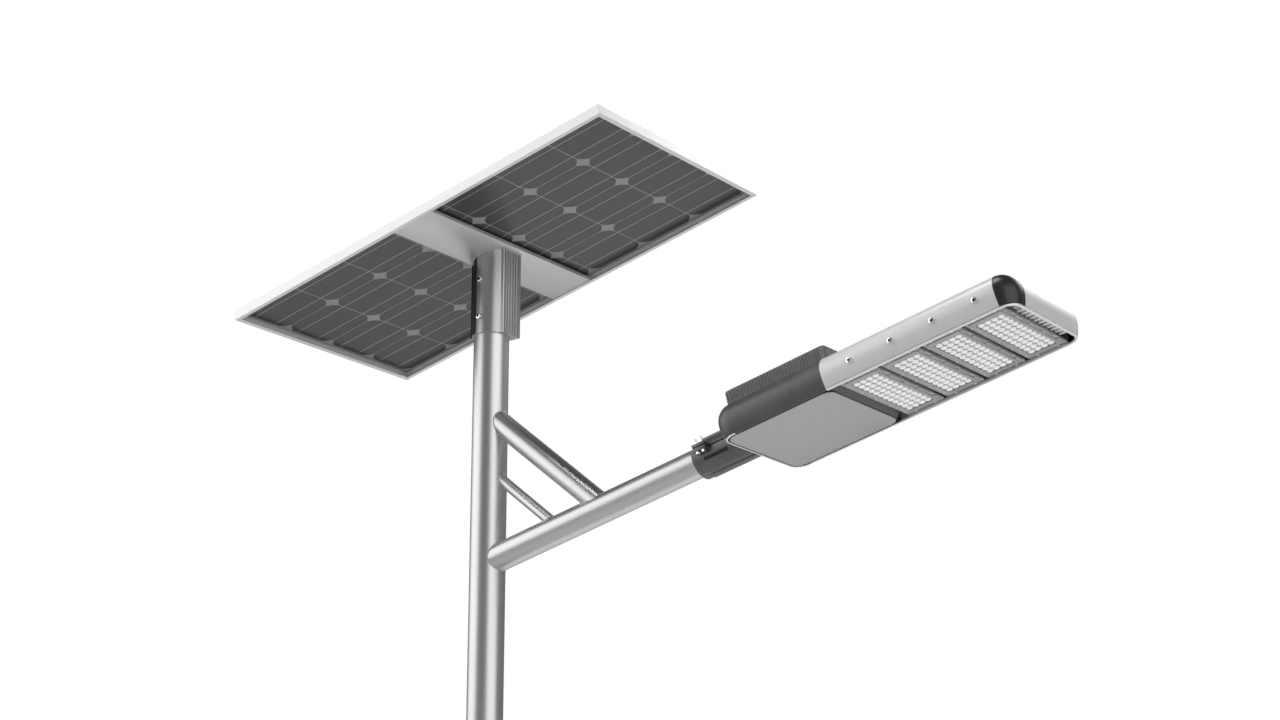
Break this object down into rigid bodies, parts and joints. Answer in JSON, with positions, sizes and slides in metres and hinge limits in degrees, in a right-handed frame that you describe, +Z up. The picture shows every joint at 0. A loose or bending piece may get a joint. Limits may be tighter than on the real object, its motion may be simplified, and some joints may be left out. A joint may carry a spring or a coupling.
{
  "type": "solar street lamp",
  "caption": "Solar street lamp: steel pole with tilted solar panel on a turning collar, and a strutted arm with an LED lamp head, battery box and drop-down gear door.",
  "frame": {"origin": "centre of the pole axis on the underside of the base flange", "axes": "+Z up the pole, +X towards the lamp head, so that Y runs across the panel and the lamp head"},
  "size_m": [2.1213, 0.665, 4.0671],
  "materials": {
    "galvanised_steel": "satin galvanised tube with a soft vertical sheen",
    "mill_aluminium": "satin extrusion",
    "frame_aluminium": "pale anodised extrusion",
    "stainless": "bright stainless fasteners",
    "solar_cells": "dark cells behind a clear back sheet",
    "panel_glass": "clear tempered glass",
    "black_plastic": "matte moulding",
    "dark_casting": "charcoal satin powder coat on die-cast aluminium",
    "silver_paint": "silver satin powder coat",
    "heatsink_aluminium": "plain extrusion",
    "module_grey": "grey satin paint",
    "board_white": "white solder mask with metal core",
    "lens_clear": "clear moulded optical plastic",
    "battery_wrap": "heat-shrunk film",
    "door_grey": "mid-grey satin paint",
    "black_rubber": "matte silicone"
  },
  "bodies": {
    "lamp_post": {"base_flange": "galvanised_steel", "pole_tube": "galvanised_steel", "arm_tube": "galvanised_steel", "upper_strut": "galvanised_steel", "lower_strut": "galvanised_steel"},
    "panel_assembly": {"panel_collar": "mill_aluminium", "cross_strip": "mill_aluminium", "collar_set_screw_upper": "stainless", "collar_set_screw_lower": "stainless", "frame_rail_low": "frame_aluminium", "frame_rail_high": "frame_aluminium", "frame_rail_near": "frame_aluminium", "frame_rail_far": "frame_aluminium", "cell_laminate": "solar_cells", "panel_glass": "panel_glass", "junction_box": "black_plastic"},
    "lamp_head": {"rear_housing": "dark_casting", "battery_cover": "dark_casting", "corner_cap_near": "dark_casting", "corner_cap_far": "dark_casting", "spigot_sleeve": "dark_casting", "spigot_saddle": "dark_casting", "side_rail_near": "silver_paint", "side_rail_far": "silver_paint", "front_wall": "silver_paint", "charge_controller": "heatsink_aluminium", "heatsink_1": "heatsink_aluminium", "heatsink_2": "heatsink_aluminium", "heatsink_3": "heatsink_aluminium", "heatsink_4": "heatsink_aluminium", "module_frame_1": "module_grey", "module_frame_2": "module_grey", "module_frame_3": "module_grey", "module_frame_4": "module_grey", "led_board_1": "board_white", "led_board_2": "board_white", "led_board_3": "board_white", "led_board_4": "board_white", "lens_plate_1": "lens_clear", "lens_plate_2": "lens_clear", "lens_plate_3": "lens_clear", "lens_plate_4": "lens_clear", "rail_screw_near_1": "stainless", "rail_screw_far_1": "stainless", "rail_screw_near_2": "stainless", "rail_screw_far_2": "stainless", "rail_screw_near_3": "stainless", "rail_screw_far_3": "stainless", "rail_screw_near_4": "stainless", "rail_screw_far_4": "stainless", "clamp_bolt_rear": "stainless", "clamp_bolt_front": "stainless", "terminal_block": "black_plastic", "battery_pack": "battery_wrap"},
    "gear_door": {"door_plate": "door_grey", "door_hinge_rod": "stainless", "door_catch": "stainless", "door_gasket": "black_rubber"}
  },
  "joints": [
    {"name": "panel_azimuth", "type": "hinge", "parent": "lamp_post", "child": "panel_assembly", "pos_m": [0, 0, 3.75], "axis": [0, 0, 1], "range_deg": [-170, 170]},
    {"name": "head_level", "type": "hinge", "parent": "lamp_post", "child": "lamp_head", "pos_m": [0, 0, 3.111], "axis": [0.9707, 0, 0.2402], "range_deg": [-15, 15]},
    {"name": "gear_door_hinge", "type": "hinge", "parent": "lamp_head", "child": "gear_door", "pos_m": [0.82065, 0, 3.27494], "axis": [0, 1, 0], "range_deg": [0, 90]}
  ]
}
